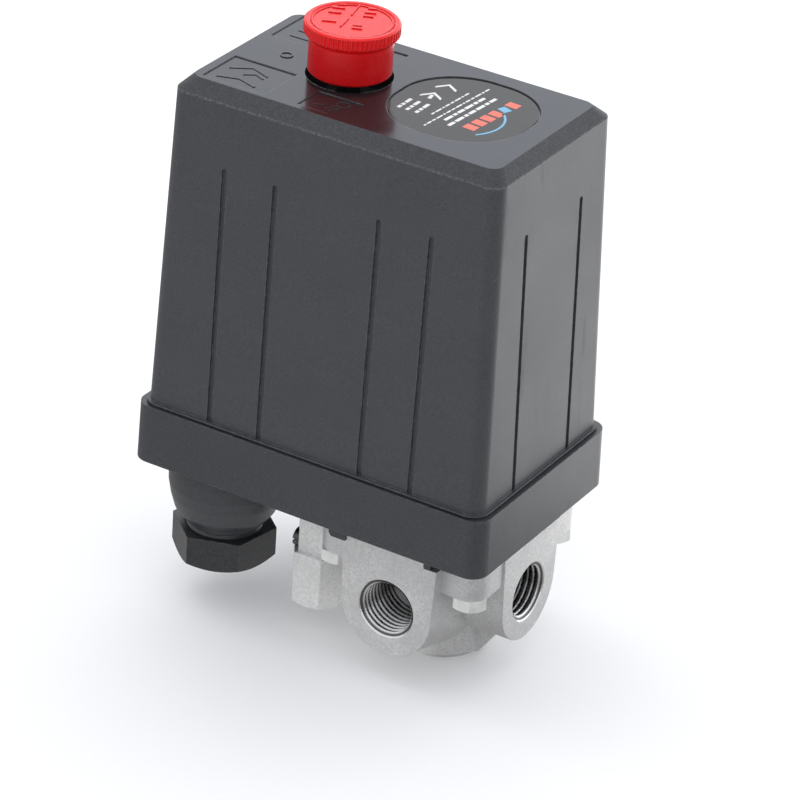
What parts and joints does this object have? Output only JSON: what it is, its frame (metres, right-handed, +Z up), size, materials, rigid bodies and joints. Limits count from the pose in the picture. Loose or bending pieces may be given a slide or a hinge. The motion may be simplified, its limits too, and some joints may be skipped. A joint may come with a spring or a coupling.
{
  "type": "pressure switch",
  "caption": "Compressor pressure switch: tapered cover with a push-pull knob, base with a cable gland, four-way threaded manifold and unloader valve.",
  "frame": {"origin": "centre of the inlet port's mouth under the manifold", "axes": "+Z up along the inlet port's axis, -Y towards the front port, +X towards the right port"},
  "size_m": [0.087, 0.0544, 0.136],
  "materials": {
    "housing_black": "satin moulded plastic",
    "cover_black": "satin moulded plastic",
    "label_face": "glossy printed film",
    "knob_red": "gloss",
    "cast_metal": "fine cast",
    "zinc_steel": "zinc plated",
    "spring_steel": "drawn wire",
    "sheet_steel": "zinc plated sheet",
    "nut_black": "satin moulded plastic",
    "rubber_black": "matte",
    "phenolic": "matte moulding",
    "brass_part": "machined",
    "stem_plastic": "natural moulding"
  },
  "bodies": {
    "housing": {"base_housing": "housing_black", "cover": "cover_black", "cover_label": "label_face", "cover_screw": "zinc_steel", "stem_guide": "sheet_steel", "knob_spring": "spring_steel", "manifold": "cast_metal", "flange_bolts": "zinc_steel", "diaphragm": "rubber_black", "piston_plate": "nut_black", "gland_nut": "nut_black", "gland_seal": "rubber_black", "unloader_body": "cast_metal", "unloader_screw": "zinc_steel", "unloader_nut": "cast_metal", "tube_ferrule": "brass_part", "unloader_spring": "spring_steel", "frame_bracket": "sheet_steel", "lever_pin": "zinc_steel", "carrier_pin": "zinc_steel", "earth_screw": "brass_part", "contact_block": "phenolic", "fixed_contacts": "brass_part", "terminal_screws": "brass_part"},
    "knob": {"knob": "knob_red", "knob_stem": "nut_black"},
    "piston": {"piston": "stem_plastic"},
    "main_lever": {"main_lever": "sheet_steel", "range_spring_foot": "sheet_steel", "differential_spring_foot": "sheet_steel", "range_spring": "spring_steel", "differential_spring": "spring_steel"},
    "off_lever": {"off_lever": "sheet_steel"},
    "contact_carrier": {"contact_carrier": "phenolic", "moving_contacts": "brass_part", "contact_springs": "spring_steel", "toggle_spring": "spring_steel"},
    "unloader_plunger": {"unloader_plunger": "brass_part"},
    "range_screw": {"range_screw": "zinc_steel"},
    "range_spring_seat": {"range_spring_seat": "sheet_steel"},
    "differential_screw": {"differential_screw": "zinc_steel"},
    "differential_spring_seat": {"differential_spring_seat": "sheet_steel"}
  },
  "joints": [
    {"name": "knob_slide", "type": "slide", "parent": "housing", "child": "knob", "axis": [0, 0, 1], "range_m": [-0.0035, 0], "deforming": ["knob_spring", "toggle_spring"]},
    {"name": "off_hinge", "type": "hinge", "parent": "housing", "child": "off_lever", "pos_m": [-0.0396, 0, 0.0672], "axis": [0, 1, 0], "range_deg": [0, 14.87], "deforming": ["toggle_spring"]},
    {"name": "carrier_hinge", "type": "hinge", "parent": "off_lever", "child": "contact_carrier", "pos_m": [-0.0396, 0, 0.0672], "axis": [0, 1, 0], "range_deg": [0, 5.6], "deforming": ["contact_springs", "toggle_spring"]},
    {"name": "lever_hinge", "type": "hinge", "parent": "housing", "child": "main_lever", "pos_m": [-0.0186, 0, 0.0502], "axis": [0, -1, 0], "range_deg": [0, 3], "deforming": ["range_spring", "differential_spring", "toggle_spring", "unloader_spring"]},
    {"name": "piston_slide", "type": "slide", "parent": "housing", "child": "piston", "axis": [0, 0, 1], "range_m": [0, 0.00095]},
    {"name": "unloader_slide", "type": "slide", "parent": "housing", "child": "unloader_plunger", "axis": [0, 0, 1], "range_m": [-0.0005, 0], "deforming": ["unloader_spring"]},
    {"name": "range_turn", "type": "hinge", "parent": "housing", "child": "range_screw", "pos_m": [0.0104, 0, 0.0922], "axis": [0, 0, 1], "range_deg": [-733.4, 733.4]},
    {"name": "range_seat_slide", "type": "slide", "parent": "housing", "child": "range_spring_seat", "axis": [0, 0, 1], "range_m": [-0.0016, 0.0016], "deforming": ["range_spring"]},
    {"name": "differential_turn", "type": "hinge", "parent": "housing", "child": "differential_screw", "pos_m": [-0.0086, -0.006, 0.0722], "axis": [0, 0, 1], "range_deg": [-733.4, 733.4]},
    {"name": "differential_seat_slide", "type": "slide", "parent": "housing", "child": "differential_spring_seat", "axis": [0, 0, 1], "range_m": [-0.0012, 0.0012], "deforming": ["differential_spring"]}
  ],
  "couplings": [
    {"joint": "off_hinge", "follows": "knob_slide", "rad_per_m": -73.9},
    {"joint": "carrier_hinge", "follows": "lever_hinge", "ratio": 1.8},
    {"joint": "piston_slide", "follows": "lever_hinge", "m_per_rad": 0.017},
    {"joint": "unloader_slide", "follows": "lever_hinge", "m_per_rad": -0.0071},
    {"joint": "range_turn", "follows": "range_seat_slide", "rad_per_m": -7854},
    {"joint": "differential_turn", "follows": "differential_seat_slide", "rad_per_m": -10472}
  ]
}
